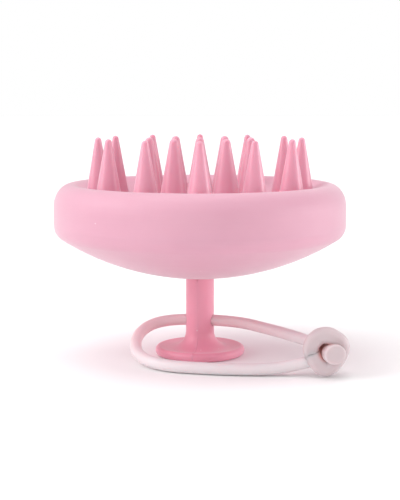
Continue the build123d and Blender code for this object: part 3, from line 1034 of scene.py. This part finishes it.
@dataclass
class Handle:
    """Stem and foot, with the fine line that the two halves of the mould leave. Sizes in metres."""

    line_turns_deg: tuple[float, float] = (-100.0, 80.0)
    line_width: float = 0.42 * MM
    line_height: float = 0.10 * MM
    sunk: float = 0.06 * MM
    # Rays from beside the stem find the skin: level ones down the stem, then a fan over the foot's top.
    guide_radius: float = 10.5 * MM
    guide_height: float = 9.0 * MM
    below_head: float = 0.4 * MM
    stem_rays: int = 12
    fan_rays: int = 25
    fan_deg: float = 94.0
    # A second fan goes round a point inside the foot's edge, from outside.
    edge_rays: int = 14
    edge_deg: float = 110.0
    edge_inset: float = 1.2 * MM
    edge_height: float = 1.3 * MM
    edge_reach: float = 5.0 * MM
    least_gap: float = 0.02 * MM
    # The rib's section, as shares of its width and height.
    section: tuple[Span, ...] = (
        (-0.5, -1.0), (-0.42, 0.0), (-0.25, 0.75), (0.0, 1.0), (0.25, 0.75), (0.42, 0.0), (0.5, -1.0),
    )

    def _outline(self, surface: BVHTree, out: Vector) -> list[tuple[Vector, Vector]]:
        """Points and normals down the stem, over the foot and round its edge, on one side.

        Args:
            surface: the handle's skin.
            out: direction away from the axis.

        Returns:
            (place, normal) pairs from the head down.
        """
        down = Vector((0, 0, -1))
        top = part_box("back_dome")[0].z - self.below_head
        rays = []
        for step in range(self.stem_rays):
            height = top + (self.guide_height - top) * step / self.stem_rays
            rays.append((out * self.guide_radius + Vector((0, 0, height)), -out))
        for step in range(self.fan_rays):
            turn = math.radians(self.fan_deg) * step / (self.fan_rays - 1)
            rays.append((
                out * self.guide_radius + Vector((0, 0, self.guide_height)),
                -out * math.cos(turn) + down * math.sin(turn),
            ))
        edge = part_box("handle")[1].x
        for step in range(self.edge_rays):
            turn = math.radians(self.edge_deg) * step / (self.edge_rays - 1)
            aim = out * (edge - self.edge_inset) + Vector((0, 0, self.edge_height))
            away = out * math.sin(turn) - down * math.cos(turn)
            rays.append((aim + away * self.edge_reach, -away))
        found = []
        for start, direction in rays:
            place, normal, _, _ = surface.ray_cast(start, direction)
            if place is not None and (not found or (place - found[-1][0]).length > self.least_gap):
                found.append((place, normal))
        return found

    def _rib(self, mesh: BMesh, surface: BVHTree, turn_deg: float) -> None:
        """Adds one closed, rounded rib along the outline.

        Args:
            mesh: the mesh to add to.
            surface: the handle's skin.
            turn_deg: where the rib is, round the stem.
        """
        turn = math.radians(turn_deg)
        out = Vector((math.cos(turn), math.sin(turn), 0))
        side = Vector((-math.sin(turn), math.cos(turn), 0))
        rings = []
        for place, normal in self._outline(surface, out):
            rise = (normal - side * normal.dot(side)).normalized()
            rings.append([
                mesh.verts.new(
                    place + side * self.line_width * across
                    + rise * (self.line_height * up if up > 0 else self.sunk * up)
                )
                for across, up in self.section
            ])
        join_rings(mesh, rings)

    def build(self, finishes: Finishes) -> None:
        """Dresses the handle and its clip, and adds the mould lines.

        Args:
            finishes: the materials.
        """
        dress(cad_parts["handle"], finishes.handle)
        dress(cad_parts["retaining_clip"], finishes.spring)
        surface = BVHTree.FromObject(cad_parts["handle"], bpy.context.evaluated_depsgraph_get())
        mesh = bmesh.new()
        for turn_deg in self.line_turns_deg:
            self._rib(mesh, surface, turn_deg)
        bmesh.ops.recalc_face_normals(mesh, faces=mesh.faces)
        data = settled("mould_lines", mesh)
        data.shade_smooth()
        seat(link("mould_lines", data), Body.HANDLE, finishes.handle)


class Head:
    """The shell and what it holds: face, dome, clamp plate, screws, washer and bristles."""

    def build(self, finishes: Finishes) -> None:
        """Dresses the CAD nodes and adds the bristles.

        Args:
            finishes: the materials.
        """
        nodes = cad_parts
        for name in ("face_cap", "back_dome"):
            dress(nodes[name], finishes.shell)
        for name in ("clamp_plate", "thrust_washer"):
            dress(nodes[name], finishes.inner)
        for name in nodes:
            if name.startswith("clamp_screw"):
                dress(nodes[name], finishes.zinc)
        log.info("head nodes dressed")
        Bristles().build(finishes.bristle)


@dataclass
class Studio:
    """Pale floor, soft light and the camera. Lengths in metres, powers in watts."""

    floor_radius: float = 4.0
    floor_steps: int = 96
    # The floor is a little greyer by the object, where its shadows fall, and white further out.
    floor_greys: Span = (0.93, 0.98)
    floor_span: Span = (0.1, 0.7)
    lamp_aim: Point = (0.0, 0.0, 0.035)
    world_strength: float = 0.62
    camera_back: float = 0.34
    camera_height: float = 0.0757
    aim_height: float = 0.0310
    lens: float = 84.0
    sensor: float = 36.0

    def _floor(self) -> None:
        """A wide white disc."""
        mesh = bmesh.new()
        bmesh.ops.create_circle(mesh, cap_ends=True, radius=self.floor_radius, segments=self.floor_steps)
        floor = link("floor", settled("floor", mesh))
        tree, material = new_material("white_sweep")
        place = tree.add("ShaderNodeTexCoord").outputs["Object"]
        away = tree.add("ShaderNodeVectorMath", {"operation": "LENGTH"}, Vector=place).outputs["Value"]
        near, far = (rgba((grey, grey, grey)) for grey in self.floor_greys)
        tone = tree.mix(tree.remap(away, self.floor_span), near, far)
        shader = tree.add("ShaderNodeBsdfPrincipled", Base_Color=tone, Roughness=0.9, Specular_IOR_Level=0.1)
        tree.add("ShaderNodeOutputMaterial", Surface=shader.outputs[0])
        dress(floor, material)

    def _sky_light(self, name: str, towards: Point, angle_deg: float, strength: float) -> None:
        """Adds an even soft light from far away.

        Args:
            name: the light's name.
            towards: direction from the object to the light.
            angle_deg: how wide the light is, seen from the object.
            strength: its power in watts per square metre.
        """
        data = bpy.data.lights.new(name, "SUN")
        data.energy = strength
        data.angle = math.radians(angle_deg)
        lamp = link(name, data)
        lamp.location = Vector(towards)
        lamp.rotation_euler = (-lamp.location).to_track_quat("-Z", "Y").to_euler()

    def _lamp(self, name: str, place: Point, size: float, power: float, tint: Colour) -> None:
        """Adds a square soft light that looks at the head.

        Args:
            name: the light's name.
            place: where it is.
            size: the length of its side.
            power: its power.
            tint: its colour.
        """
        data = bpy.data.lights.new(name, "AREA")
        data.size = size
        data.energy = power
        data.color = tint
        lamp = link(name, data)
        lamp.location = place
        aim = Vector(self.lamp_aim) - lamp.location
        lamp.rotation_euler = aim.to_track_quat("-Z", "Y").to_euler()

    def build(self) -> None:
        """Makes the floor, the world, the lights and the camera."""
        self._floor()
        world = bpy.data.worlds.new("white_room")
        bpy.context.scene.world = world
        world.use_nodes = True
        tree = Tree(world.node_tree)
        backdrop = world.node_tree.nodes["Background"]
        backdrop.inputs["Color"].default_value = rgba((1.0, 1.0, 1.0))
        seen = tree.add("ShaderNodeLightPath").outputs["Is Camera Ray"]
        # The camera sees white, and the object is lit by less, so that the lamps can shape it.
        tree.feed(backdrop.inputs["Strength"], tree.remap(seen, (0.0, 1.0), (self.world_strength, 1.0)))
        self._sky_light("key", towards=(-0.85, -0.18, 0.50), angle_deg=45.0, strength=1.5)
        self._sky_light("overhead", towards=(-0.15, 0.05, 1.0), angle_deg=60.0, strength=1.25)
        self._lamp("rim", (0.62, -0.02, 0.09), size=0.3, power=1.6, tint=(0.99, 0.99, 1.0))
        self._lamp("fill", (-0.12, -0.66, 0.04), size=0.3, power=0.3, tint=(1.0, 1.0, 1.0))
        low, high = CAD_BOX
        middle = (low[0] + high[0]) / 2
        data = bpy.data.cameras.new("camera")
        data.lens = self.lens
        data.sensor_width = self.sensor
        camera = link("camera", data)
        camera.location = (middle, -self.camera_back, self.camera_height)
        aim = Vector((middle, 0, self.aim_height)) - camera.location
        camera.rotation_euler = aim.to_track_quat("-Z", "Y").to_euler()
        bpy.context.scene.camera = camera
        bpy.context.scene.view_settings.view_transform = "Standard"
        log.info("studio ready")


def main() -> None:
    """Builds the studio, the finishes and every sub-assembly in order."""
    Studio().build()
    finishes = Finishes()
    CordLoop().build(finishes)
    Head().build(finishes)
    Handle().build(finishes)


if __name__ == "__main__":
    main()
